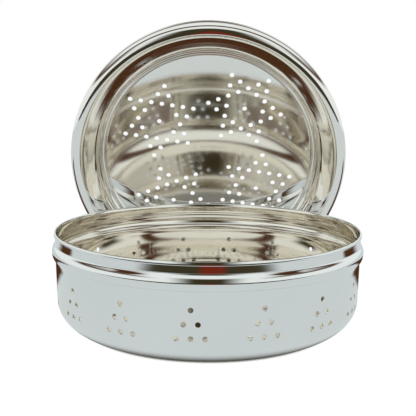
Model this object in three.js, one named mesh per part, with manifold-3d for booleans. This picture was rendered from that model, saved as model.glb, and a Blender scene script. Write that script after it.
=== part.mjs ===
// A round perforated cheese mould: a deep-drawn bowl and a pressed lift-off lid.
// Millimetres, +Z up. The origin is the centre of the bowl's flat bottom.
// The front is -Y. The lid stands on its edge behind the bowl and leans forward on its rim.
import * as THREE from "three";
import { mergeVertices } from "three/addons/utils/BufferGeometryUtils.js";
import Module from "manifold-3d";

const wasm = await Module();
wasm.setup();

// Driving dimensions
const RIM_RADIUS = 90; // outside of the bowl's straight neck
const BOWL_HEIGHT = 57.5;
const SHEET = 0.7; // steel sheet of both pressings
const LID_DEPTH = 15.5; // from the lid's crest down to the middle of its panel
const LID_CLEARANCE = 1.2; // between the bowl's rim and the inside of the lid's skirt
const LEAN_DEGREES = 13.5; // how far the lid leans forward from upright
const BODY_GAP = 0.65; // least gap, towards the rear, between the bowl's wall and the leaning lid
const REST_GAP = 0.45; // from the rim to the plane of the panel's middle, which is dished away from it

// Bowl
const HEM_HEIGHT = 2.2; // folded edge round the rim
const HEM_BULGE = 0.5; // how far the hem stands out of the neck
const NECK_HEIGHT = 6.5; // from the rim down to the bead
const BEAD_HEIGHT = 10.5;
const BEAD_BULGE = 1.8;
const WALL_INSET = 0.3; // wall under the bead, inside the neck's line
const WALL_TAPER = 0.5; // how much narrower the wall is at the corner
const CORNER_WIDTH = 21;
const CORNER_HEIGHT = 18;

// Lid
const PANEL_RADIUS = 69.6;
const PANEL_DISH = 0.8; // how much deeper the panel's middle is than its edge
const LEDGE_WIDTH = 3.2; // the narrow ledge round the panel
const LEDGE_HEIGHT = 1.5;
const CREST_INSET = 6; // from the skirt in to the crest
const SKIRT_HEIGHT = 12.4; // from the crest down to the skirt's edge

// Holes
const HOLE_DIAMETER = 3;
const HOLE_SIDES = 6;
const WALL_GROUPS = 16;
const WALL_ROWS = 3; // one, two and three holes, narrow end up
const WALL_PITCH = 7.5;
const TOP_ROW_DROP = 25; // from the rim down to the single hole
const FIRST_GROUP_DEGREES = -52.5;
const INDEXING_WANDER_DEGREES = 5.5; // the groups are punched by hand indexing
const STARS = 4;
const STAR_PITCH = 7.1;
const STAR_RING_RADIUS = 41;
const FIRST_STAR_DEGREES = 54;
const STAR_TWIST_DEGREES = -3;
// Squared distances, in pitches, of the lattice points that draw a six-pointed star
const STAR_SQUARED_DISTANCES = [0, 3, 4, 7, 12];
const STAR_REACH = 4; // lattice steps searched each way

// Mesh fineness
const SEGMENTS = 48;
const CORNER_STEPS = 5;
const CUTTER_LENGTH = 12;
const GAP_STEPS = 6; // points tried along each piece of the lid's profile

const hemRadius = RIM_RADIUS + HEM_BULGE;
const lidRadius = hemRadius + LID_CLEARANCE + SHEET;
const lean = THREE.MathUtils.degToRad(LEAN_DEGREES);

function toSolid(geometry) {
  geometry.deleteAttribute("normal");
  geometry.deleteAttribute("uv");
  const merged = mergeVertices(geometry, 1e-4);
  const vertProperties = merged.attributes.position.array;
  const triVerts = new Uint32Array(merged.index.array);
  return new wasm.Manifold(new wasm.Mesh({ numProp: 3, vertProperties, triVerts }));
}

function toGeometry(solid) {
  const mesh = solid.getMesh();
  const geometry = new THREE.BufferGeometry();
  geometry.setAttribute("position", new THREE.BufferAttribute(mesh.vertProperties, 3));
  geometry.setIndex(new THREE.BufferAttribute(mesh.triVerts, 1));
  geometry.computeVertexNormals();
  return geometry;
}

// The unit normal of a profile at one of its points, to the left of its direction.
function leftNormal(points, index) {
  const before = points[Math.max(index - 1, 0)];
  const after = points[Math.min(index + 1, points.length - 1)];
  const along = new THREE.Vector2(after[0] - before[0], after[1] - before[1]).normalize();
  return new THREE.Vector2(-along.y, along.x);
}

// Spins a sheet about +Z. Its outer face is given as [radius, height] points from the axis
// outwards, and its other face lies one sheet to the given side (1 is left, -1 is right).
function spunSheet(outer, side) {
  const inner = outer.map(([radius, height], index) => {
    const shift = leftNormal(outer, index).multiplyScalar(side * SHEET);
    return [index === 0 ? 0 : radius + shift.x, height + shift.y];
  });
  const loop = side > 0 ? [...outer, ...inner.reverse()] : [...inner, ...outer.reverse()];
  const profile = loop.map(([radius, height]) => new THREE.Vector2(radius, height));
  const geometry = new THREE.LatheGeometry(profile, SEGMENTS);
  geometry.rotateX(Math.PI / 2);
  return toSolid(geometry);
}

// A closed band of rectangular section, used for the folded edges.
function spunBand(innerRadius, outerRadius, low, high) {
  const corners = [
    [innerRadius, low],
    [outerRadius, low],
    [outerRadius, high],
    [innerRadius, high],
    [innerRadius, low],
  ];
  const profile = corners.map(([radius, height]) => new THREE.Vector2(radius, height));
  const geometry = new THREE.LatheGeometry(profile, SEGMENTS);
  geometry.rotateX(Math.PI / 2);
  return toSolid(geometry);
}

function bowlProfile() {
  const wallRadius = RIM_RADIUS - WALL_INSET;
  const cornerTop = wallRadius - WALL_TAPER;
  const floorRadius = cornerTop - CORNER_WIDTH;
  const points = [[0, 0]];
  for (let step = 0; step <= CORNER_STEPS; step += 1) {
    const angle = (step / CORNER_STEPS) * (Math.PI / 2);
    const radius = floorRadius + CORNER_WIDTH * Math.sin(angle);
    points.push([radius, CORNER_HEIGHT * (1 - Math.cos(angle))]);
  }
  const beadTop = BOWL_HEIGHT - NECK_HEIGHT;
  const beadPeak = beadTop - BEAD_HEIGHT * 0.45;
  const peakRadius = RIM_RADIUS + BEAD_BULGE;
  const shoulder = RIM_RADIUS + BEAD_BULGE * 0.75;
  points.push([wallRadius, beadTop - BEAD_HEIGHT]);
  points.push([shoulder, beadPeak - BEAD_HEIGHT * 0.3]);
  points.push([peakRadius, beadPeak]);
  points.push([shoulder, beadPeak + BEAD_HEIGHT * 0.27]);
  points.push([RIM_RADIUS, beadTop]);
  points.push([RIM_RADIUS, BOWL_HEIGHT - HEM_HEIGHT / 2]);
  return points;
}

// From the axis out: dished panel, crease, ledge, steep wall, gentle shoulder, crest and skirt.
function lidProfile() {
  const panelEdge = PANEL_DISH - LID_DEPTH;
  const ledgeOuter = PANEL_RADIUS + LEDGE_WIDTH;
  const ledgeTop = panelEdge + LEDGE_HEIGHT;
  const crestRadius = lidRadius - CREST_INSET;
  const wall = crestRadius - ledgeOuter;
  return [
    [0, -LID_DEPTH],
    [PANEL_RADIUS / 2, PANEL_DISH / 4 - LID_DEPTH],
    [PANEL_RADIUS, panelEdge],
    [PANEL_RADIUS + 0.25 * LEDGE_WIDTH, panelEdge + 0.7 * LEDGE_HEIGHT],
    [ledgeOuter - 0.1 * LEDGE_WIDTH, ledgeTop],
    [ledgeOuter + 0.06 * wall, 0.84 * ledgeTop],
    [ledgeOuter + 0.14 * wall, 0.45 * ledgeTop],
    [ledgeOuter + 0.24 * wall, 0.335 * ledgeTop],
    [ledgeOuter + 0.47 * wall, 0.205 * ledgeTop],
    [ledgeOuter + 0.7 * wall, 0.088 * ledgeTop],
    [ledgeOuter + 0.85 * wall, 0.025 * ledgeTop],
    [crestRadius, 0],
    [crestRadius + 0.5 * CREST_INSET, -0.12 * CREST_INSET],
    [crestRadius + 0.87 * CREST_INSET, -0.5 * CREST_INSET],
    [lidRadius, -CREST_INSET],
    [lidRadius, -SKIRT_HEIGHT],
  ];
}

function holeCutter() {
  const radius = HOLE_DIAMETER / 2;
  return new THREE.CylinderGeometry(radius, radius, CUTTER_LENGTH, HOLE_SIDES);
}

// The holes of one star, as [x, y] about its centre with a tip on +X.
function starPoints() {
  const points = [];
  for (let i = -STAR_REACH; i <= STAR_REACH; i += 1) {
    for (let j = -STAR_REACH; j <= STAR_REACH; j += 1) {
      if (STAR_SQUARED_DISTANCES.includes(i * i + i * j + j * j)) {
        const x = i + j / 2;
        const y = (j * Math.sqrt(3)) / 2;
        points.push(new THREE.Vector2(x, y).multiplyScalar(STAR_PITCH));
      }
    }
  }
  const tipOnX = -Math.PI / 6;
  return points.map((point) => point.rotateAround(new THREE.Vector2(), tipOnX));
}

function starCutters(height) {
  const cutters = [];
  const twist = THREE.MathUtils.degToRad(STAR_TWIST_DEGREES);
  for (let star = 0; star < STARS; star += 1) {
    const turn = THREE.MathUtils.degToRad(FIRST_STAR_DEGREES + (360 / STARS) * star);
    for (const point of starPoints()) {
      const centre = new THREE.Vector2();
      const place = point.clone().rotateAround(centre, twist);
      place.x += STAR_RING_RADIUS;
      place.rotateAround(centre, turn);
      const cutter = holeCutter();
      cutter.rotateX(Math.PI / 2);
      cutter.translate(place.x, place.y, height);
      cutters.push(toSolid(cutter));
    }
  }
  return cutters;
}

// The middle of one wall group, measured from the front towards +X.
function groupAngle(group) {
  const pitch = 360 / WALL_GROUPS;
  const phase = THREE.MathUtils.degToRad(pitch * (group - 1));
  const wander = INDEXING_WANDER_DEGREES * Math.sin(phase);
  return THREE.MathUtils.degToRad(FIRST_GROUP_DEGREES + pitch * group + wander);
}

function wallCutters() {
  const cutters = [];
  for (let group = 0; group < WALL_GROUPS; group += 1) {
    for (let row = 0; row < WALL_ROWS; row += 1) {
      for (let hole = 0; hole <= row; hole += 1) {
        const offset = ((hole - row / 2) * WALL_PITCH) / RIM_RADIUS;
        const cutter = holeCutter();
        cutter.translate(0, -RIM_RADIUS, 0);
        cutter.rotateZ(groupAngle(group) + offset);
        const height = BOWL_HEIGHT - TOP_ROW_DROP - row * WALL_PITCH;
        cutter.translate(0, 0, height);
        cutters.push(toSolid(cutter));
      }
    }
  }
  return cutters;
}

function makeBowl() {
  const neckInside = RIM_RADIUS - SHEET;
  const hem = spunBand(neckInside, hemRadius, BOWL_HEIGHT - HEM_HEIGHT, BOWL_HEIGHT);
  const body = spunSheet(bowlProfile(), 1).add(hem);
  const cutters = wasm.Manifold.union([...wallCutters(), ...starCutters(0)]);
  return toGeometry(body.subtract(cutters));
}

// The lid about its own axis, outer face up, with the crest at height zero.
function makeLid() {
  const body = spunSheet(lidProfile(), -1);
  const cutters = wasm.Manifold.union(starCutters(-LID_DEPTH));
  return toGeometry(body.subtract(cutters));
}

// The height of the lid's crest plane centre that puts its lowest edge on the ground.
function lidCentreHeight() {
  const reaches = lidProfile().map(([radius, height]) => {
    return radius * Math.cos(lean) + height * Math.sin(lean);
  });
  return Math.max(...reaches);
}

// How far back that centre lies when the panel leans on the back of the bowl's rim.
function backOnRim() {
  const across = (REST_GAP - LID_DEPTH) / Math.cos(lean);
  return hemRadius + across + Math.tan(lean) * (BOWL_HEIGHT - lidCentreHeight());
}

// The bowl's outer radius at a height, between the points of its profile.
function bowlRadiusAt(height) {
  const points = bowlProfile();
  const above = Math.max(1, points.findIndex((point) => point[1] >= height));
  const [lowRadius, low] = points[above - 1];
  const [highRadius, high] = points[above];
  const part = THREE.MathUtils.clamp((height - low) / (high - low || 1), 0, 1);
  return THREE.MathUtils.lerp(lowRadius, highRadius, part);
}

// The least gap behind the bowl's wall, on the plane of symmetry, with the lid that far back.
function gapBehindBowl(back) {
  const height = lidCentreHeight();
  const profile = lidProfile();
  let least = Infinity;
  for (let index = 1; index < profile.length; index += 1) {
    for (let step = 0; step < GAP_STEPS; step += 1) {
      const part = step / GAP_STEPS;
      const radius = THREE.MathUtils.lerp(profile[index - 1][0], profile[index][0], part);
      const depth = THREE.MathUtils.lerp(profile[index - 1][1], profile[index][1], part);
      const z = height - radius * Math.cos(lean) - depth * Math.sin(lean);
      const y = back + radius * Math.sin(lean) - depth * Math.cos(lean);
      if (z < BOWL_HEIGHT - HEM_HEIGHT) {
        least = Math.min(least, y - bowlRadiusAt(z));
      }
    }
  }
  return least;
}

// The lid stands where its panel meets the rim, or further back if it meets the wall first.
function lidCentreBack() {
  const onRim = backOnRim();
  return onRim + Math.max(0, BODY_GAP - gapBehindBowl(onRim));
}

function steel(colour) {
  return new THREE.MeshStandardMaterial({ color: colour, metalness: 1, roughness: 0.15 });
}

function addNode(group, name, geometry, material) {
  const mesh = new THREE.Mesh(geometry, material);
  mesh.name = name;
  group.add(mesh);
  return mesh;
}

const group = new THREE.Group();
group.name = "cheese_mould";
addNode(group, "mould_bowl", makeBowl(), steel(0xd4d8dc));
const lid = addNode(group, "mould_lid", makeLid(), steel(0xc9c4bc));
lid.position.set(0, lidCentreBack(), lidCentreHeight());
lid.rotation.x = Math.PI / 2 + lean;

export default group;
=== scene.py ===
"""A round perforated cheese mould in polished steel: a drawn bowl and a pressed lid."""

import math

import bmesh
import bpy
from bpy.props import FloatProperty, FloatVectorProperty, IntProperty, PointerProperty
from mathutils import Matrix, Vector


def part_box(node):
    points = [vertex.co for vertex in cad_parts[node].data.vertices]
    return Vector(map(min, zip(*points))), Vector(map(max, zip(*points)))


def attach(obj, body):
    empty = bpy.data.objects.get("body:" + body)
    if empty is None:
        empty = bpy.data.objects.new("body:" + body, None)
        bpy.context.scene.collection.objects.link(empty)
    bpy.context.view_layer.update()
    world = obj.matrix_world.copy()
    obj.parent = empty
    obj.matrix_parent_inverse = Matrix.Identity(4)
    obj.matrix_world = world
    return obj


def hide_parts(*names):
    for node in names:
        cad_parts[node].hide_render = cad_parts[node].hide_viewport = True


bl_info = {
    "name": "Cheese mould",
    "version": (1, 0, 0),
    "blender": (4, 5, 0),
    "location": "View3D > Sidebar > Cheese mould",
    "description": "Builds a perforated steel cheese mould with its lift-off lid, and a plain stage",
    "category": "Add Mesh",
}

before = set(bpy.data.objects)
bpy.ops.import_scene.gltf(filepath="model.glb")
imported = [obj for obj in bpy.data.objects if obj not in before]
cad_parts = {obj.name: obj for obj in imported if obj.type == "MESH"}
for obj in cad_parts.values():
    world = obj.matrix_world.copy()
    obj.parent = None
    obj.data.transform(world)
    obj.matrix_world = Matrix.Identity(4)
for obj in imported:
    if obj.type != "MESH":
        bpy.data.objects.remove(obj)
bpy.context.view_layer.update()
BOWL_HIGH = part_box("mould_bowl")[1]

MM = 0.001
UP = Vector((0.0, 0.0, 1.0))
FULL_TURN = 2.0 * math.pi
MERGE_DISTANCE = 1e-7

SHEET = 0.7  # thickness of the steel, in millimetres

# The bowl, in millimetres. The origin is the middle of its flat bottom.
RIM_RADIUS = 90.0
BOWL_HEIGHT = BOWL_HIGH.z / MM
HEM_BULGE = 0.5
HEM_HEIGHT = 2.2
NECK_HEIGHT = 6.5
NECK_TAPER = 0.12
BEAD_HEIGHT = 10.5
BEAD_BULGE = 1.8
BEAD_PEAK = 0.45  # how far down the bead its widest ring lies, as a part of its height
BEAD_FOOT = 3.0
WALL_INSET = 0.3
WALL_TAPER = 0.5
WALL_SLOPE = 0.022
CORNER_WIDTH = 21.0
CORNER_HEIGHT = 18.0
CORNER_STEPS = 24
CURVE_STEPS = 6  # steps from one knot of a smooth curve to the next

# The lid, in millimetres, about its own axis with its crest at height zero.
LID_DEPTH = 15.5
LID_CLEARANCE = 1.2
PANEL_RADIUS = 69.6
PANEL_DISH = 0.8
PANEL_STEPS = 8
LEDGE_WIDTH = 3.2
LEDGE_HEIGHT = 1.5
CREST_INSET = 6.0
SKIRT_HEIGHT = 12.4
LEAN = math.radians(13.5)
REST_GAP = 0.45

# The holes, in millimetres and degrees.
WALL_GROUPS = 16
WALL_ROWS = 3
WALL_PITCH = 7.5
TOP_ROW_DROP = 25.0
FIRST_GROUP = -52.5
INDEXING_WANDER = 5.5
STARS = 4
STAR_PITCH = 7.1
STAR_RING_RADIUS = 41.0
FIRST_STAR = 54.0
STAR_TWIST = -3.0
STAR_POINT_TURN = 30.0  # turns a point of each star, not a side, outward
STAR_SQUARED_DISTANCES = (0, 3, 4, 7, 12)
STAR_REACH = 4
CUTTER_LENGTH = 12.0

# The shading of the mesh, in millimetres and degrees.
SHARP_ANGLE = 35.0
PANEL_FACING = 0.99  # least upward part of the normal of a face of the flat panel
PANEL_MARGIN = 0.3
WALL_FACING = 0.95  # least outward part of the normal of a face of the wall
CORNER_CLEAR = 0.01
BEAD_CLEAR = 3.1
RIM_EDGE = 0.4  # the top of the rim is all one steel

# The polished steel. Scales are per metre.
ROUGHNESS = 0.05
CLOUD_SCALE = 22.0
CLOUD_DARKENING = 0.93
WEAR = (0.7, 1.4)  # lowest and highest roughness, as parts of the stated one
SCRATCH_TURN = (0.3, 0.5, 0.9)
SCRATCH_SCALE = (40.0, 700.0, 40.0)
SCRATCHES = 0.012  # strength of the hairline scratches
SPUN_LINES = 0.06  # strength of the fine rings on the lid
SPUN_SCALE = 900.0
SPUN_FROM = -1.0  # the rings fade in between these two distances past the panel's edge
SPUN_TO = 3.0
BUMP_DEPTH = 0.0002  # in metres


class MouldSizes(bpy.types.PropertyGroup):
    """Sizes that shape both pressings."""

    sheet: FloatProperty(
        name="Sheet",
        description="Thickness of the steel sheet",
        default=SHEET * MM,
        min=0.3 * MM,
        max=1.5 * MM,
        unit="LENGTH",
    )
    hole: FloatProperty(
        name="Hole",
        description="Diameter of the punched holes",
        default=3.0 * MM,
        min=1.0 * MM,
        max=5.0 * MM,
        unit="LENGTH",
    )
    spin_steps: IntProperty(
        name="Spin steps",
        description="Steps round each pressing",
        default=256,
        min=64,
        max=400,
    )
    hole_sides: IntProperty(
        name="Hole sides",
        description="Corners round each hole",
        default=20,
        min=8,
        max=32,
    )


class MouldColours(bpy.types.PropertyGroup):
    """Colours of the steel and of the stage."""

    bowl_outside: FloatVectorProperty(
        name="Bowl outside",
        description="Polished steel on the bowl's outer face",
        default=(0.90, 0.91, 0.90),
        subtype="COLOR",
        min=0.0,
        max=1.0,
    )
    # Painted reflection: the same steel as outside, tinted warmer for the warm light that the bowl's
    # inside reflects.
    bowl_inside_painted_reflection: FloatVectorProperty(
        name="Bowl inside",
        description="Warmer steel on the bowl's inner face",
        default=(0.91, 0.88, 0.81),
        subtype="COLOR",
        min=0.0,
        max=1.0,
    )
    lid: FloatVectorProperty(
        name="Lid",
        description="Polished steel of the lid",
        default=(0.93, 0.915, 0.88),
        subtype="COLOR",
        min=0.0,
        max=1.0,
    )
    stage: FloatVectorProperty(
        name="Stage",
        description="Floor and backdrop",
        default=(1.0, 1.0, 1.0),
        subtype="COLOR",
        min=0.0,
        max=1.0,
    )
    reflected: FloatVectorProperty(
        name="Reflected white",
        description="Brightness of the white sweep as the steel shows it",
        default=(0.64, 0.69, 0.695),
        subtype="COLOR",
        min=0.0,
        max=1.0,
    )
    room: FloatVectorProperty(
        name="Room",
        description="Brightness of the white room above the horizon as the steel shows it",
        default=(0.86, 0.90, 0.89),
        subtype="COLOR",
        min=0.0,
        max=1.0,
    )
    # Also the colour of the painted shade on the floor behind the mould.
    brown_walls_and_shade: FloatVectorProperty(
        name="Brown walls",
        description="Warm brown walls to the left and right of the stage",
        default=(0.075, 0.029, 0.011),
        subtype="COLOR",
        min=0.0,
        max=1.0,
    )
    red_cloth: FloatVectorProperty(
        name="Red-brown cloth",
        description="Cloth on the dark table that tints the middle of the neck",
        default=(0.16, 0.022, 0.010),
        subtype="COLOR",
        min=0.0,
        max=1.0,
    )
    # Also the colour of the painted contact shadow on the floor and of the painted shade under the
    # mould.
    dark: FloatVectorProperty(
        name="Dark",
        description="Dark table and dark stand in front of the stage",
        default=(0.045, 0.036, 0.018),
        subtype="COLOR",
        min=0.0,
        max=1.0,
    )


# Profiles

def arc(centre, radii, first, last, steps):
    """Points on a quarter or other part of an ellipse, both ends included."""
    points = []
    for step in range(steps + 1):
        angle = first + (last - first) * step / steps
        x = centre[0] + radii[0] * math.cos(angle)
        y = centre[1] + radii[1] * math.sin(angle)
        points.append((x, y))
    return points


def smooth(knots, steps):
    """A smooth curve through knots, by cubic pieces whose slopes follow the neighbours."""
    points = []
    last = len(knots) - 1
    for index in range(last):
        start, end = Vector(knots[index]), Vector(knots[index + 1])
        before = Vector(knots[max(index - 1, 0)])
        after = Vector(knots[min(index + 2, last)])
        start_slope = (end - before) / 2.0
        end_slope = (after - start) / 2.0
        for step in range(steps):
            t = step / steps
            a = 2 * t**3 - 3 * t**2 + 1
            b = t**3 - 2 * t**2 + t
            c = -2 * t**3 + 3 * t**2
            d = t**3 - t**2
            points.append(tuple(a * start + b * start_slope + c * end + d * end_slope))
    points.append(tuple(knots[-1]))
    return points


def bowl_profile():
    """The bowl's outer face, as (radius, height) from the axis to the rim."""
    wall_radius = RIM_RADIUS - WALL_INSET
    corner_top = wall_radius - WALL_TAPER
    floor_radius = corner_top - CORNER_WIDTH
    radii = (CORNER_WIDTH, CORNER_HEIGHT)
    points = [(0.0, 0.0)]
    points += arc((floor_radius, CORNER_HEIGHT), radii, -math.pi / 2, 0.0, CORNER_STEPS)
    bead_top = BOWL_HEIGHT - NECK_HEIGHT
    bead_low = bead_top - BEAD_HEIGHT
    peak = bead_top - BEAD_PEAK * BEAD_HEIGHT
    points += smooth(
        [
            (wall_radius - 0.02, bead_low - BEAD_FOOT),
            (wall_radius, bead_low),
            (wall_radius + 0.25, bead_low + 0.12 * BEAD_HEIGHT),
            (RIM_RADIUS + 0.70 * BEAD_BULGE, peak - 0.27 * BEAD_HEIGHT),
            (RIM_RADIUS + BEAD_BULGE, peak),
            (RIM_RADIUS + 0.70 * BEAD_BULGE, peak + 0.24 * BEAD_HEIGHT),
            (RIM_RADIUS + 0.15, bead_top - 0.3),
            (RIM_RADIUS, bead_top + 0.6),
        ],
        CURVE_STEPS,
    )
    points.append((RIM_RADIUS - NECK_TAPER, BOWL_HEIGHT - HEM_HEIGHT))
    return points


def lid_profile():
    """The lid's outer face, as (radius, height) from the axis to the skirt's edge."""
    lid_radius = RIM_RADIUS + HEM_BULGE + LID_CLEARANCE + SHEET
    panel_edge = PANEL_DISH - LID_DEPTH
    ledge_outer = PANEL_RADIUS + LEDGE_WIDTH
    ledge_top = panel_edge + LEDGE_HEIGHT
    crest = lid_radius - CREST_INSET
    wall = crest - ledge_outer
    points = []
    for step in range(PANEL_STEPS):
        part = step / PANEL_STEPS
        points.append((PANEL_RADIUS * part, PANEL_DISH * part * part - LID_DEPTH))
    points += smooth(
        [
            (PANEL_RADIUS - 0.3, panel_edge),
            (PANEL_RADIUS, panel_edge + 0.02),
            (PANEL_RADIUS + 0.22 * LEDGE_WIDTH, panel_edge + 0.72 * LEDGE_HEIGHT),
            (PANEL_RADIUS + 0.45 * LEDGE_WIDTH, panel_edge + 0.96 * LEDGE_HEIGHT),
            (ledge_outer - 0.1 * LEDGE_WIDTH, ledge_top + 0.05),
            (ledge_outer + 0.06 * wall, 0.84 * ledge_top),
            (ledge_outer + 0.14 * wall, 0.45 * ledge_top),
            (ledge_outer + 0.24 * wall, 0.335 * ledge_top),
            (ledge_outer + 0.47 * wall, 0.205 * ledge_top),
            (ledge_outer + 0.70 * wall, 0.088 * ledge_top),
            (ledge_outer + 0.85 * wall, 0.025 * ledge_top),
            (crest, 0.0),
            (crest + 0.5 * CREST_INSET, -0.12 * CREST_INSET),
            (crest + 0.87 * CREST_INSET, -0.5 * CREST_INSET),
            (lid_radius, -CREST_INSET),
            (lid_radius, -SKIRT_HEIGHT + 0.5),
        ],
        CURVE_STEPS,
    )
    points.append((lid_radius, -SKIRT_HEIGHT))
    return points


def offset_profile(points, distance):
    """The profile moved sideways by distance, to the left of its direction."""
    moved = []
    last = len(points) - 1
    for index, (radius, height) in enumerate(points):
        before, after = points[max(index - 1, 0)], points[min(index + 1, last)]
        along = Vector((after[0] - before[0], after[1] - before[1])).normalized()
        new_radius = 0.0 if index == 0 else radius - along.y * distance
        moved.append((new_radius, height + along.x * distance))
    return moved


# Mesh helpers

def spin_loop(name, loop, steps):
    """Spins a profile that starts and ends on the axis about +Z, into one closed body."""
    bm = bmesh.new()
    verts = [bm.verts.new((radius * MM, 0.0, height * MM)) for radius, height in loop]
    edges = [bm.edges.new(pair) for pair in zip(verts, verts[1:])]
    bmesh.ops.spin(
        bm,
        geom=verts + edges,
        cent=(0.0, 0.0, 0.0),
        axis=UP,
        dvec=(0.0, 0.0, 0.0),
        angle=FULL_TURN,
        steps=steps,
        use_merge=True,
    )
    bmesh.ops.remove_doubles(bm, verts=bm.verts, dist=MERGE_DISTANCE)
    bmesh.ops.recalc_face_normals(bm, faces=bm.faces)
    mesh = bpy.data.meshes.new(name)
    bm.to_mesh(mesh)
    bm.free()
    return mesh


def add_object(name, mesh):
    thing = bpy.data.objects.new(name, mesh)
    bpy.context.scene.collection.objects.link(thing)
    return thing


def star_places():
    """Middles of the holes of all the stars, in millimetres, in the plane of a panel."""
    places = []
    for star in range(STARS):
        turn = Matrix.Rotation(math.radians(FIRST_STAR + star * 360.0 / STARS), 3, "Z")
        twist = Matrix.Rotation(math.radians(STAR_TWIST - STAR_POINT_TURN), 3, "Z")
        reach = range(-STAR_REACH, STAR_REACH + 1)
        for i in reach:
            for j in reach:
                if i * i + i * j + j * j in STAR_SQUARED_DISTANCES:
                    lattice = Vector((i + j / 2.0, j * math.sqrt(3.0) / 2.0, 0.0))
                    place = twist @ (lattice * STAR_PITCH)
                    place.x += STAR_RING_RADIUS
                    places.append(turn @ place)
    return places


def wall_places():
    """Turn about the axis and height of each hole in the bowl's wall."""
    places = []
    pitch = 360.0 / WALL_GROUPS
    for group in range(WALL_GROUPS):
        wander = INDEXING_WANDER * math.sin(math.radians(pitch * (group - 1)))
        middle = math.radians(FIRST_GROUP + pitch * group + wander)
        for row in range(WALL_ROWS):
            height = BOWL_HEIGHT - TOP_ROW_DROP - row * WALL_PITCH
            for hole in range(row + 1):
                offset = (hole - row / 2.0) * WALL_PITCH / RIM_RADIUS
                places.append((middle + offset, height))
    return places


def add_cutter(bm, radius, sides, matrix):
    bmesh.ops.create_cone(
        bm,
        cap_ends=True,
        segments=sides,
        radius1=radius,
        radius2=radius,
        depth=CUTTER_LENGTH * MM,
        matrix=matrix,
    )


def cutter_object(name, matrices, sizes):
    bm = bmesh.new()
    for matrix in matrices:
        add_cutter(bm, sizes.hole / 2.0, sizes.hole_sides, matrix)
    mesh = bpy.data.meshes.new(name)
    bm.to_mesh(mesh)
    bm.free()
    return add_object(name, mesh)


def star_matrices(height):
    return [
        Matrix.Translation((place.x * MM, place.y * MM, height * MM))
        for place in star_places()
    ]


def wall_matrices():
    lay_down = Matrix.Rotation(math.pi / 2.0, 4, "X")
    matrices = []
    for angle, height in wall_places():
        out = Matrix.Translation((0.0, -RIM_RADIUS * MM, height * MM))
        matrices.append(Matrix.Rotation(angle, 4, "Z") @ out @ lay_down)
    return matrices


def punch(blank, cutter):
    """Cuts the cutter's shapes out of the blank and keeps the result as its mesh."""
    cut = blank.modifiers.new("Punched holes", "BOOLEAN")
    cut.operation = "DIFFERENCE"
    cut.solver = "EXACT"
    cut.object = cutter
    depsgraph = bpy.context.evaluated_depsgraph_get()
    result = bpy.data.meshes.new_from_object(blank.evaluated_get(depsgraph))
    blank.modifiers.clear()
    blank.data = result
    cutter_mesh = cutter.data
    bpy.data.objects.remove(cutter)
    bpy.data.meshes.remove(cutter_mesh)


def shade(piece, angle_degrees, panel_radius, dish=0.0, wall_band=None):
    """Smooth shading, with true normals on the panel and the wall that the holes cut up."""
    mesh = piece.data
    mesh.shade_smooth()
    mesh.set_sharp_from_angle(angle=math.radians(angle_degrees))
    normals = [corner.vector.copy() for corner in mesh.corner_normals]
    for face in mesh.polygons:
        centre = Vector((face.center.x, face.center.y, 0.0)) / MM
        height = face.center.z / MM
        is_level = abs(face.normal.z) > PANEL_FACING
        is_panel = is_level and centre.length < panel_radius - PANEL_MARGIN
        along = centre.normalized().dot(face.normal)
        is_upright = abs(along) > WALL_FACING
        is_wall = wall_band and wall_band[0] < height < wall_band[1] and is_upright
        for loop in face.loop_indices:
            place = mesh.vertices[mesh.loops[loop].vertex_index].co / MM
            if is_panel:
                slope = 2.0 * dish / panel_radius**2
                normal = Vector((-slope * place.x, -slope * place.y, 1.0)).normalized()
                normals[loop] = normal * math.copysign(1.0, face.normal.z)
            elif is_wall:
                outward = Vector((place.x, place.y, 0.0)).normalized()
                leaning = (outward - UP * WALL_SLOPE).normalized()
                normals[loop] = leaning * math.copysign(1.0, along)
    mesh.normals_split_custom_set(normals)


# Materials

def new_steel(name, colour, roughness):
    material = bpy.data.materials.new(name)
    material.use_nodes = True
    shader = material.node_tree.nodes["Principled BSDF"]
    shader.inputs["Metallic"].default_value = 1.0
    shader.inputs["Roughness"].default_value = roughness
    shader.inputs["Base Color"].default_value = (*colour, 1.0)
    return material


def add_node(tree, kind, **inputs):
    node = tree.nodes.new(kind)
    for name, value in inputs.items():
        node.inputs[name.replace("_", " ")].default_value = value
    return node


def store_radius(mesh):
    """Keeps each point's distance from the spin axis, for the fine lines that spinning leaves."""
    radius = mesh.attributes.new("spin_radius", "FLOAT", "POINT")
    for index, vertex in enumerate(mesh.vertices):
        radius.data[index].value = math.hypot(vertex.co.x, vertex.co.y)


def add_spun_lines(material, strength):
    """Fine rings left by spinning, on the part of the sheet outside the flat panel."""
    tree = material.node_tree
    link = tree.links.new
    radius = tree.nodes.new("ShaderNodeAttribute")
    radius.attribute_name = "spin_radius"
    rings = add_node(tree, "ShaderNodeTexNoise", Scale=SPUN_SCALE, Detail=2.0)
    rings.noise_dimensions = "1D"
    link(radius.outputs["Fac"], rings.inputs["W"])
    outside = add_node(tree, "ShaderNodeMapRange")
    outside.inputs["From Min"].default_value = (PANEL_RADIUS + SPUN_FROM) * MM
    outside.inputs["From Max"].default_value = (PANEL_RADIUS + SPUN_TO) * MM
    link(radius.outputs["Fac"], outside.inputs["Value"])
    masked = tree.nodes.new("ShaderNodeMath")
    masked.operation = "MULTIPLY"
    link(rings.outputs["Fac"], masked.inputs[0])
    link(outside.outputs["Result"], masked.inputs[1])
    bump = add_node(tree, "ShaderNodeBump", Strength=strength, Distance=BUMP_DEPTH)
    link(masked.outputs["Value"], bump.inputs["Height"])
    link(tree.nodes["Scratches"].outputs["Normal"], bump.inputs["Normal"])
    link(bump.outputs["Normal"], tree.nodes["Principled BSDF"].inputs["Normal"])


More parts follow.
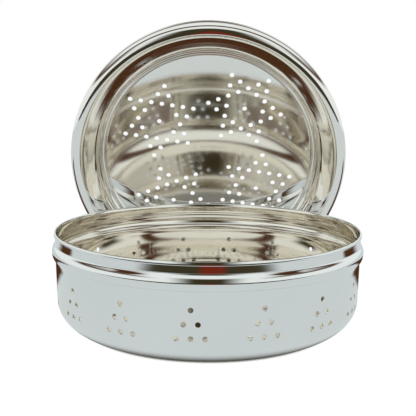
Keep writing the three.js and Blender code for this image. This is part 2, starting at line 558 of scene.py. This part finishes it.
def polished_steel(name, colour, roughness):
    """Mirror-polished steel: soft cloudy tint, hairline scratches and a faint roughness drift."""
    material = new_steel(name, colour, roughness)
    tree = material.node_tree
    link = tree.links.new
    shader = tree.nodes["Principled BSDF"]
    place = tree.nodes.new("ShaderNodeTexCoord")

    cloud = add_node(tree, "ShaderNodeTexNoise", Scale=CLOUD_SCALE, Detail=3.0)
    link(place.outputs["Object"], cloud.inputs["Vector"])
    tint = tree.nodes.new("ShaderNodeMix")
    tint.data_type = "RGBA"
    tint.inputs["A"].default_value = (*colour, 1.0)
    tint.inputs["B"].default_value = (*[channel * CLOUD_DARKENING for channel in colour], 1.0)
    link(cloud.outputs["Fac"], tint.inputs["Factor"])
    link(tint.outputs["Result"], shader.inputs["Base Color"])

    wear = add_node(tree, "ShaderNodeMapRange")
    wear.inputs["To Min"].default_value = roughness * WEAR[0]
    wear.inputs["To Max"].default_value = roughness * WEAR[1]
    link(cloud.outputs["Fac"], wear.inputs["Value"])
    link(wear.outputs["Result"], shader.inputs["Roughness"])

    stretch = tree.nodes.new("ShaderNodeMapping")
    stretch.inputs["Rotation"].default_value = SCRATCH_TURN
    stretch.inputs["Scale"].default_value = SCRATCH_SCALE
    link(place.outputs["Object"], stretch.inputs["Vector"])
    scratch = add_node(tree, "ShaderNodeTexNoise", Scale=1.0, Detail=2.0)
    link(stretch.outputs["Vector"], scratch.inputs["Vector"])
    bump = add_node(tree, "ShaderNodeBump", Strength=SCRATCHES, Distance=BUMP_DEPTH)
    bump.name = "Scratches"
    link(scratch.outputs["Fac"], bump.inputs["Height"])
    link(bump.outputs["Normal"], shader.inputs["Normal"])
    return material


# Pieces

def lid_matrix():
    """Stands the lid on its edge behind the bowl, leaning on the back of the rim."""
    reach = max(
        radius * math.cos(LEAN) + height * math.sin(LEAN) for radius, height in lid_profile()
    )
    hem_radius = RIM_RADIUS + HEM_BULGE
    across = (REST_GAP - LID_DEPTH) / math.cos(LEAN)
    back = hem_radius + across + math.tan(LEAN) * (BOWL_HEIGHT - reach)
    place = Matrix.Translation((0.0, back * MM, reach * MM))
    return place @ Matrix.Rotation(math.pi / 2.0 + LEAN, 4, "X")


class MOULD_OT_bowl(bpy.types.Operator):
    """Adds the bowl: a drawn shell with a bead, a folded rim and punched drain holes"""

    bl_idname = "mould.bowl"
    bl_label = "Bowl"

    def execute(self, context):
        sizes = context.scene.mould_sizes
        colours = context.scene.mould_colours
        sheet = sizes.sheet / MM
        outer = bowl_profile()
        inner = offset_profile(outer, sheet)
        inner_radius = RIM_RADIUS - sheet
        hem = [
            (RIM_RADIUS + 0.20, BOWL_HEIGHT - HEM_HEIGHT),
            (RIM_RADIUS + HEM_BULGE, BOWL_HEIGHT - HEM_HEIGHT + 0.3),
            (RIM_RADIUS + HEM_BULGE, BOWL_HEIGHT - 0.5),
            (RIM_RADIUS + HEM_BULGE - 0.2, BOWL_HEIGHT - 0.1),
            (RIM_RADIUS + HEM_BULGE - 0.6, BOWL_HEIGHT),
            (inner_radius + 0.3, BOWL_HEIGHT - 0.1),
            (inner_radius, BOWL_HEIGHT - 0.5),
        ]
        loop = outer + hem + inner[::-1]
        mesh = spin_loop("bowl_shell", loop, sizes.spin_steps)
        bowl = add_object("bowl_shell", mesh)
        matrices = star_matrices(0.0) + wall_matrices()
        punch(bowl, cutter_object("bowl_punch", matrices, sizes))
        wall_low = CORNER_HEIGHT + CORNER_CLEAR
        wall_high = BOWL_HEIGHT - NECK_HEIGHT - BEAD_HEIGHT - BEAD_CLEAR
        floor_radius = RIM_RADIUS - WALL_INSET - WALL_TAPER - CORNER_WIDTH
        shade(bowl, SHARP_ANGLE, floor_radius, wall_band=(wall_low, wall_high))
        outside = polished_steel("Bowl steel outside", colours.bowl_outside, ROUGHNESS)
        # The inner faces get the painted warm reflection tint.
        inside = polished_steel("Bowl steel inside with painted warm reflection", colours.bowl_inside_painted_reflection, ROUGHNESS)
        bowl.data.materials.clear()
        bowl.data.materials.append(outside)
        bowl.data.materials.append(inside)
        for face in bowl.data.polygons:
            centre = face.center
            outward = Vector((centre.x, centre.y, 0.0)).dot(face.normal)
            flat = abs(face.normal.z) > 0.9
            is_inside = face.normal.z > 0.0 if flat else outward < 0.0
            below_edge = centre.z < BOWL_HIGH.z - RIM_EDGE * MM
            face.material_index = 1 if is_inside and below_edge else 0
        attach(bowl, "bowl")
        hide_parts("mould_bowl")
        return {"FINISHED"}


class MOULD_OT_lid(bpy.types.Operator):
    """Adds the lid: a pressed disc with a recessed perforated panel and a short skirt"""

    bl_idname = "mould.lid"
    bl_label = "Lid"

    def execute(self, context):
        sizes = context.scene.mould_sizes
        colours = context.scene.mould_colours
        sheet = sizes.sheet / MM
        outer = lid_profile()
        inner = offset_profile(outer, -sheet)
        loop = outer + inner[::-1]
        mesh = spin_loop("lid_shell", loop, sizes.spin_steps)
        lid = add_object("lid_shell", mesh)
        punch(lid, cutter_object("lid_punch", star_matrices(-LID_DEPTH), sizes))
        shade(lid, SHARP_ANGLE, PANEL_RADIUS, dish=PANEL_DISH)
        store_radius(lid.data)
        lid.data.transform(lid_matrix())
        steel = polished_steel("Lid steel", colours.lid, ROUGHNESS)
        add_spun_lines(steel, SPUN_LINES)
        lid.data.materials.clear()
        lid.data.materials.append(steel)
        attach(lid, "lid")
        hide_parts("mould_lid")
        return {"FINISHED"}


# Stage

# Places are in metres. Parts of a direction run from -1 to 1.
FLOOR_SIZE = 12.0
FLOOR_DROP = 0.0002
CONTACT_SHADOW_REACH = 0.002  # reach and fading of the painted contact shadow, a thin dark line under the mould
CONTACT_SHADOW_FADE = (0.02, 0.40)
SHADE_REACH = 0.050  # reach and fading of the shade under the mould that the steel shows
SHADE_FADE = (0.05, 0.42)
SWEEP_EDGE = (-0.35, -0.27)  # the white sweep fades into the dark table between these
CLOTH_MIDDLE = 0.022
CLOTH_SIDE = (0.035, 0.080)  # the cloth fades out between these distances from its middle
SHADE_BEHIND_FRONT = (0.065, 0.095)  # painted shade, a brown band on the floor behind the mould, from here
SHADE_BEHIND_BACK = (0.150, 0.200)  # to here
SHADE_BEHIND_SIDE = (0.34, 0.42)
STAND_SIDE = (0.14, 0.50)  # sideways part of the directions at which the stand fades out
STAND_TOP = (0.50, 0.72)
WALL_SIDE = (0.50, 0.80)
WALL_BACK = (0.30, 0.60)  # backward part of the directions at which the back wall begins
WALL_LOW = (0.30, 0.42)
WALL_TOP = (0.40, 0.70)
IN_FRONT = (0.0, -0.1)  # backward part of the directions at which the stand begins
BEAM_LOW = (0.4, 0.6)
BEAM_MIDDLE = -0.27  # backward part of the directions at which the ceiling beam is darkest
BEAM_WIDTH = (0.08, 0.18)
CAMERA_DISTANCE = 0.510
CAMERA_ELEVATION = math.radians(10.85)
CAMERA_LENS = 74.0  # in millimetres, as the sensor is
CAMERA_SENSOR = 36.0
CAMERA_NEAR = 0.01
CAMERA_PITCH_UP = math.radians(1.32)
CAMERA_ROLL = math.radians(0.35)
MAX_BOUNCES = 16
GLOSSY_BOUNCES = 12


def emission_material(name):
    material = bpy.data.materials.new(name)
    material.use_nodes = True
    tree = material.node_tree
    tree.nodes.clear()
    light = tree.nodes.new("ShaderNodeEmission")
    out = tree.nodes.new("ShaderNodeOutputMaterial")
    tree.links.new(light.outputs["Emission"], out.inputs["Surface"])
    return material, tree, light


def fade(tree, value, limits):
    """A soft step of a value, from 0 at the first limit to 1 at the second."""
    step = add_node(tree, "ShaderNodeMapRange", From_Min=limits[0], From_Max=limits[1])
    step.interpolation_type = "SMOOTHSTEP"
    tree.links.new(value, step.inputs["Value"])
    return step.outputs["Result"]


def calculate(tree, operation, first, second=0.0):
    node = tree.nodes.new("ShaderNodeMath")
    node.operation = operation
    for slot, value in zip(node.inputs, (first, second)):
        if isinstance(value, float):
            slot.default_value = value
        else:
            tree.links.new(value, slot)
    return node.outputs["Value"]


def blend(tree, amount, first, second):
    """Mixes two colours, each a socket or three numbers, by the amount of the second."""
    mix = tree.nodes.new("ShaderNodeMix")
    mix.data_type = "RGBA"
    tree.links.new(amount, mix.inputs["Factor"])
    for letter, colour in (("A", first), ("B", second)):
        if isinstance(colour, bpy.types.NodeSocket):
            tree.links.new(colour, mix.inputs[letter])
        else:
            mix.inputs[letter].default_value = (*colour, 1.0)
    return mix.outputs["Result"]


def split_axes(tree, coordinates):
    place = tree.nodes.new("ShaderNodeTexCoord")
    axes = tree.nodes.new("ShaderNodeSeparateXYZ")
    tree.links.new(place.outputs[coordinates], axes.inputs["Vector"])
    return axes.outputs["X"], axes.outputs["Y"], axes.outputs["Z"]


def seen_floor(colours):
    """A glowing white floor with a painted contact shadow, a thin dark line where something stands
    on it.
    """
    material, tree, light = emission_material("Pale floor")
    # Painted contact shadow: the floor turns dark where the ambient occlusion is deep.
    shade_occlusion = add_node(tree, "ShaderNodeAmbientOcclusion", Distance=CONTACT_SHADOW_REACH)
    out_of_shade = fade(tree, shade_occlusion.outputs["AO"], CONTACT_SHADOW_FADE)
    colour = blend(tree, out_of_shade, colours.dark, colours.stage)
    tree.links.new(colour, light.inputs["Color"])
    return material


def reflected_floor(colours):
    """What the steel shows below the horizon: a white sweep, then a dark table with a cloth, with
    painted shade behind and under the mould.
    """
    material, tree, light = emission_material("Sweep and table")
    x, y, _ = split_axes(tree, "Object")
    side = calculate(tree, "ABSOLUTE", calculate(tree, "SUBTRACT", x, CLOTH_MIDDLE))
    off_cloth = fade(tree, side, CLOTH_SIDE)
    table = blend(tree, off_cloth, colours.red_cloth, colours.dark)
    # Painted shade: the floor behind the mould turns brown.
    off_shade_behind = fade(tree, calculate(tree, "ABSOLUTE", x), SHADE_BEHIND_SIDE)
    depth = calculate(tree, "SUBTRACT", fade(tree, y, SHADE_BEHIND_FRONT), fade(tree, y, SHADE_BEHIND_BACK))
    shade_behind = calculate(tree, "SUBTRACT", depth, off_shade_behind)
    sweep = blend(tree, shade_behind, colours.reflected, colours.brown_walls_and_shade)
    colour = blend(tree, fade(tree, y, SWEEP_EDGE), table, sweep)
    # Painted shade under the mould: dark where the ambient occlusion is deep.
    shade_occlusion = add_node(tree, "ShaderNodeAmbientOcclusion", Distance=SHADE_REACH)
    out_of_shade = fade(tree, shade_occlusion.outputs["AO"], SHADE_FADE)
    tree.links.new(blend(tree, out_of_shade, colours.dark, colour), light.inputs["Color"])
    return material


def add_floor(name, height, material):
    half = FLOOR_SIZE / 2.0
    bm = bmesh.new()
    corners = [(-half, -half), (half, -half), (half, half), (-half, half)]
    bm.faces.new([bm.verts.new((x, y, height)) for x, y in corners])
    mesh = bpy.data.meshes.new(name)
    bm.to_mesh(mesh)
    bm.free()
    mesh.materials.append(material)
    floor = add_object(name, mesh)
    floor.visible_shadow = False
    floor.visible_diffuse = False
    return floor


def make_world(colours):
    """White to look at; in reflections, a white room with brown walls and a dark stand."""
    world = bpy.data.worlds.new("Soft white room")
    world.use_nodes = True
    tree = world.node_tree
    x, y, z = split_axes(tree, "Generated")
    side = calculate(tree, "ABSOLUTE", x)
    wall_height = calculate(tree, "SUBTRACT", fade(tree, z, WALL_LOW), fade(tree, z, WALL_TOP))
    around = calculate(tree, "MAXIMUM", fade(tree, side, WALL_SIDE), fade(tree, y, WALL_BACK))
    walls = calculate(tree, "MULTIPLY", around, wall_height)
    in_front = fade(tree, y, IN_FRONT)
    below_stand = calculate(tree, "SUBTRACT", 1.0, fade(tree, z, STAND_TOP))
    near_middle = calculate(tree, "SUBTRACT", 1.0, fade(tree, side, STAND_SIDE))
    stand = calculate(tree, "MULTIPLY", near_middle, below_stand)
    stand = calculate(tree, "MULTIPLY", stand, in_front)
    off_beam = calculate(tree, "ABSOLUTE", calculate(tree, "SUBTRACT", y, BEAM_MIDDLE))
    beam = calculate(tree, "SUBTRACT", fade(tree, z, BEAM_LOW), fade(tree, off_beam, BEAM_WIDTH))
    room = blend(tree, beam, colours.room, colours.brown_walls_and_shade)
    room = blend(tree, walls, room, colours.brown_walls_and_shade)
    room = blend(tree, stand, room, colours.dark)
    ray = tree.nodes.new("ShaderNodeLightPath")
    seen = blend(tree, ray.outputs["Is Camera Ray"], room, colours.stage)
    tree.links.new(seen, tree.nodes["Background"].inputs["Color"])
    bpy.context.scene.world = world


def make_camera():
    data = bpy.data.cameras.new("Camera")
    data.lens = CAMERA_LENS
    data.sensor_width = CAMERA_SENSOR
    data.clip_start = CAMERA_NEAR
    camera = bpy.data.objects.new("Camera", data)
    bpy.context.scene.collection.objects.link(camera)
    target = Vector((0.0, 0.0, BOWL_HIGH.z))
    back = Vector((0.0, -math.cos(CAMERA_ELEVATION), math.sin(CAMERA_ELEVATION)))
    camera.location = target + back * CAMERA_DISTANCE
    aim = (-back).to_track_quat("-Z", "Y").to_matrix().to_4x4()
    aim = aim @ Matrix.Rotation(CAMERA_PITCH_UP, 4, "X") @ Matrix.Rotation(CAMERA_ROLL, 4, "Z")
    camera.rotation_euler = aim.to_euler()
    bpy.context.scene.camera = camera


class MOULD_OT_stage(bpy.types.Operator):
    """Adds the pale floor, the soft white room with its dark parts, and the camera"""

    bl_idname = "mould.stage"
    bl_label = "Stage"

    def execute(self, context):
        colours = context.scene.mould_colours
        seen = add_floor("floor", -FLOOR_DROP, seen_floor(colours))
        seen.visible_glossy = False
        table = add_floor("sweep_and_table", -2 * FLOOR_DROP, reflected_floor(colours))
        table.visible_camera = False
        make_world(colours)
        make_camera()
        context.scene.view_settings.view_transform = "Standard"
        context.scene.cycles.max_bounces = MAX_BOUNCES
        context.scene.cycles.glossy_bounces = GLOSSY_BOUNCES
        return {"FINISHED"}


class MOULD_PT_panel(bpy.types.Panel):
    """Lists the operators and settings of the cheese mould"""

    bl_idname = "MOULD_PT_panel"
    bl_label = "Cheese mould"
    bl_space_type = "VIEW_3D"
    bl_region_type = "UI"
    bl_category = "Cheese mould"

    def draw(self, context):
        layout = self.layout
        for group in (context.scene.mould_sizes, context.scene.mould_colours):
            for name in group.__annotations__:
                layout.prop(group, name)
        for operator in OPERATORS:
            layout.operator(operator.bl_idname)


OPERATORS = (MOULD_OT_bowl, MOULD_OT_lid, MOULD_OT_stage)
CLASSES = (MouldSizes, MouldColours, *OPERATORS, MOULD_PT_panel)


def register():
    for cls in CLASSES:
        bpy.utils.register_class(cls)
    bpy.types.Scene.mould_sizes = PointerProperty(type=MouldSizes)
    bpy.types.Scene.mould_colours = PointerProperty(type=MouldColours)


def unregister():
    del bpy.types.Scene.mould_colours
    del bpy.types.Scene.mould_sizes
    for cls in reversed(CLASSES):
        bpy.utils.unregister_class(cls)


def main():
    register()
    bpy.ops.mould.bowl()
    bpy.ops.mould.lid()
    bpy.ops.mould.stage()


if __name__ == "__main__":
    main()
